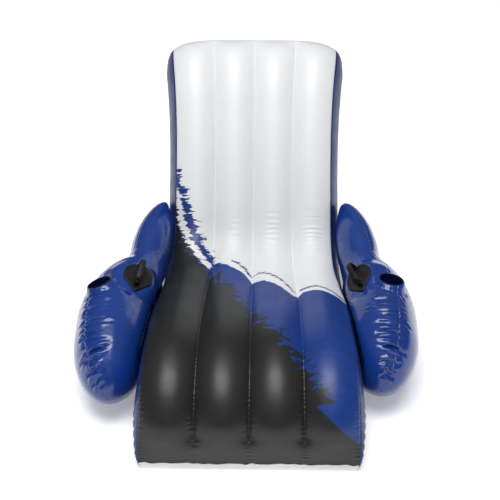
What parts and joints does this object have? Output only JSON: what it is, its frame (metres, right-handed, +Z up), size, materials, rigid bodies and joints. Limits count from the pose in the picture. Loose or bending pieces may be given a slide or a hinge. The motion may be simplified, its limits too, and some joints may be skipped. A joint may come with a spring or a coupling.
{
  "type": "inflatable pool float",
  "caption": "Inflatable reclining pool lounge with a tubed seat and backrest, two inflated arms with cup holders and grab handles, and air valves.",
  "frame": {"origin": "on the floor, on the mattress's centre line, below the front of the backrest", "axes": "+Z up, -Y towards the foot end, +X towards the sitter's left arm"},
  "size_m": [1.3319, 1.7242, 1.0034],
  "materials": {
    "printed_vinyl": "glossy white PVC film printed with a ragged brush-stroke pattern in blue and dark grey",
    "white_vinyl": "glossy white PVC film",
    "blue_vinyl": "glossy royal blue PVC film with weld lines",
    "web_vinyl": "plain white PVC film",
    "black_rubber": "satin black moulded rubber",
    "valve_plastic": "milky soft PVC moulding"
  },
  "bodies": {
    "float": {"top_panel": "printed_vinyl", "bottom_panel": "white_vinyl", "body_valve_flange": "valve_plastic", "i_beam_web_left": "web_vinyl", "i_beam_web_centre": "web_vinyl", "i_beam_web_right": "web_vinyl", "left_side_wall": "blue_vinyl", "left_joining_strip": "blue_vinyl", "left_arm_upper_sheet": "blue_vinyl", "left_arm_lower_sheet": "blue_vinyl", "left_cup_wall": "blue_vinyl", "left_cup_floor": "blue_vinyl", "left_handle_base": "black_rubber", "left_arm_valve_flange": "valve_plastic", "right_side_wall": "blue_vinyl", "right_joining_strip": "blue_vinyl", "right_arm_upper_sheet": "blue_vinyl", "right_arm_lower_sheet": "blue_vinyl", "right_cup_wall": "blue_vinyl", "right_cup_floor": "blue_vinyl", "right_handle_base": "black_rubber", "right_arm_valve_flange": "valve_plastic"},
    "body_valve_stem": {"body_valve_stem": "valve_plastic"},
    "body_valve_cap": {"body_valve_cap": "valve_plastic"},
    "body_valve_flap": {"body_valve_flap": "valve_plastic"},
    "left_arm_valve_stem": {"left_arm_valve_stem": "valve_plastic"},
    "left_arm_valve_cap": {"left_arm_valve_cap": "valve_plastic"},
    "left_arm_valve_flap": {"left_arm_valve_flap": "valve_plastic"},
    "right_arm_valve_stem": {"right_arm_valve_stem": "valve_plastic"},
    "right_arm_valve_cap": {"right_arm_valve_cap": "valve_plastic"},
    "right_arm_valve_flap": {"right_arm_valve_flap": "valve_plastic"},
    "left_handle_grip": {"left_handle_grip": "black_rubber"},
    "right_handle_grip": {"right_handle_grip": "black_rubber"}
  },
  "joints": [
    {"name": "body_valve_pull", "type": "slide", "parent": "float", "child": "body_valve_stem", "axis": [0, 0.8466, -0.5322], "range_m": [0, 0.0217]},
    {"name": "body_valve_cap_hinge", "type": "hinge", "parent": "body_valve_stem", "child": "body_valve_cap", "pos_m": [0.10992, 0.54432, 0.25808], "axis": [0, -0.5322, -0.8466], "range_deg": [0, 150]},
    {"name": "body_valve_flap_hinge", "type": "hinge", "parent": "body_valve_stem", "child": "body_valve_flap", "pos_m": [0.07236, 0.52294, 0.27152], "axis": [0, -0.5322, -0.8466], "range_deg": [0, 60]},
    {"name": "left_arm_valve_pull", "type": "slide", "parent": "float", "child": "left_arm_valve_stem", "axis": [0.9427, 0.083, -0.3231], "range_m": [0, 0.015]},
    {"name": "left_arm_valve_cap_hinge", "type": "hinge", "parent": "left_arm_valve_stem", "child": "left_arm_valve_cap", "pos_m": [0.63904, -0.20079, 0.11419], "axis": [0.3242, 0, 0.946], "range_deg": [0, 150]},
    {"name": "left_arm_valve_flap_hinge", "type": "hinge", "parent": "left_arm_valve_stem", "child": "left_arm_valve_flap", "pos_m": [0.62449, -0.22806, 0.11918], "axis": [0.3242, 0, 0.946], "range_deg": [0, 60]},
    {"name": "right_arm_valve_pull", "type": "slide", "parent": "float", "child": "right_arm_valve_stem", "axis": [-0.9315, 0.173, -0.3201], "range_m": [0, 0.015]},
    {"name": "right_arm_valve_cap_hinge", "type": "hinge", "parent": "right_arm_valve_stem", "child": "right_arm_valve_cap", "pos_m": [-0.66624, -0.19924, 0.11533], "axis": [0.325, 0, -0.9457], "range_deg": [0, 150]},
    {"name": "right_arm_valve_flap_hinge", "type": "hinge", "parent": "right_arm_valve_stem", "child": "right_arm_valve_flap", "pos_m": [-0.65408, -0.22779, 0.11951], "axis": [0.325, 0, -0.9457], "range_deg": [0, 60]},
    {"name": "left_grip_rock", "type": "hinge", "parent": "float", "child": "left_handle_grip", "pos_m": [0.40872, -0.19226, 0.36182], "axis": [-0.0875, 0.9926, 0.0845], "range_deg": [-20, 20], "stiffness_Nm_per_rad": 0.4},
    {"name": "right_grip_rock", "type": "hinge", "parent": "float", "child": "right_handle_grip", "pos_m": [-0.43912, -0.207, 0.37202], "axis": [0.0604, 0.9869, 0.1496], "range_deg": [-20, 20], "stiffness_Nm_per_rad": 0.4}
  ]
}
